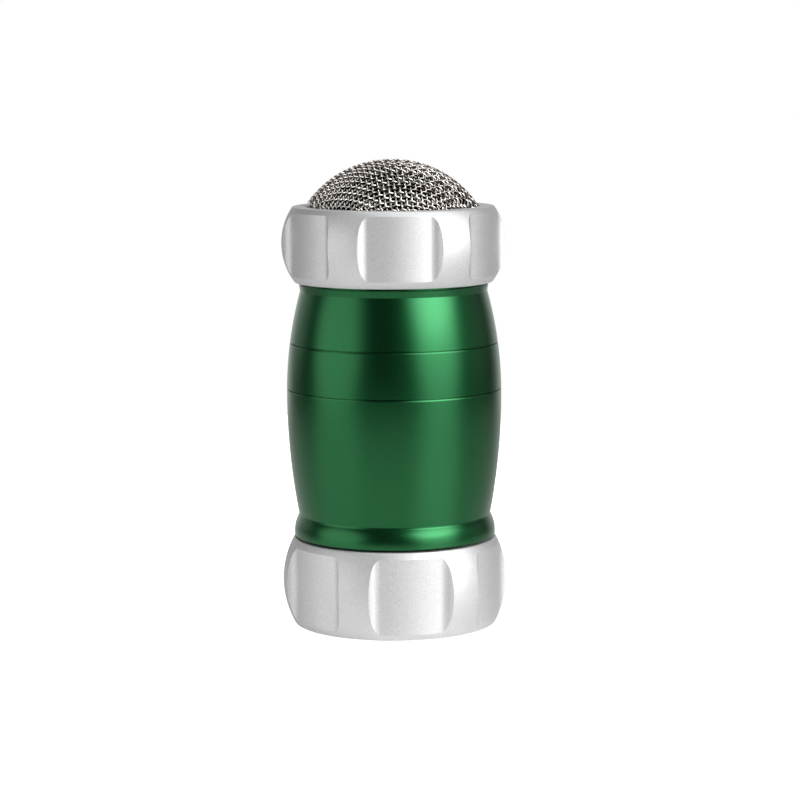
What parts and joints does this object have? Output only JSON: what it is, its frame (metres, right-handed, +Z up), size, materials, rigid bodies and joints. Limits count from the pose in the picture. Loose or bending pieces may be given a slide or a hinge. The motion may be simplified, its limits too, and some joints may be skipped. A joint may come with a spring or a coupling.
{
  "type": "sugar shaker",
  "caption": "Hand-held powder shaker: barrel-shaped aluminium body open at both ends, a screw ring holding a woven wire dome on top and a screw ring with a closing disc below.",
  "frame": {"origin": "on the table under the middle of the bottom ring nut", "axes": "+Z up along the barrel's axis, -Y to the front"},
  "size_m": [0.0656, 0.0638, 0.1356],
  "materials": {
    "green_anodised_aluminium": "turned, bead blasted and dyed green when anodised",
    "satin_aluminium": "turned, bead blasted and clear anodised",
    "stainless_wire": "plain-woven drawn wire",
    "stainless_sheet": "rolled",
    "silicone": "moulded, matt"
  },
  "bodies": {
    "barrel": {"barrel_body": "green_anodised_aluminium"},
    "mesh_insert": {"mesh_dome": "stainless_wire", "mesh_rim_hoop": "stainless_sheet", "top_seal": "silicone"},
    "top_ring": {"top_ring_nut": "satin_aluminium"},
    "base_plate": {"base_disc": "satin_aluminium", "base_seal": "silicone"},
    "bottom_ring": {"bottom_ring_nut": "satin_aluminium"}
  },
  "joints": [
    {"name": "mesh_lift", "type": "slide", "parent": "barrel", "child": "mesh_insert", "axis": [0, 0, 1], "range_m": [0, 0.006]},
    {"name": "top_ring_unscrew", "type": "hinge", "parent": "mesh_insert", "child": "top_ring", "pos_m": [0, 0, 0.1111], "axis": [0, 0, 1], "range_deg": [0, 1080]},
    {"name": "base_drop", "type": "slide", "parent": "barrel", "child": "base_plate", "axis": [0, 0, -1], "range_m": [0, 0.006]},
    {"name": "bottom_ring_unscrew", "type": "hinge", "parent": "base_plate", "child": "bottom_ring", "pos_m": [0, 0, 0.0127], "axis": [0, 0, -1], "range_deg": [0, 1080]}
  ],
  "couplings": [
    {"joint": "mesh_lift", "follows": "top_ring_unscrew", "m_per_rad": 0.00031831},
    {"joint": "base_drop", "follows": "bottom_ring_unscrew", "m_per_rad": 0.00031831}
  ]
}
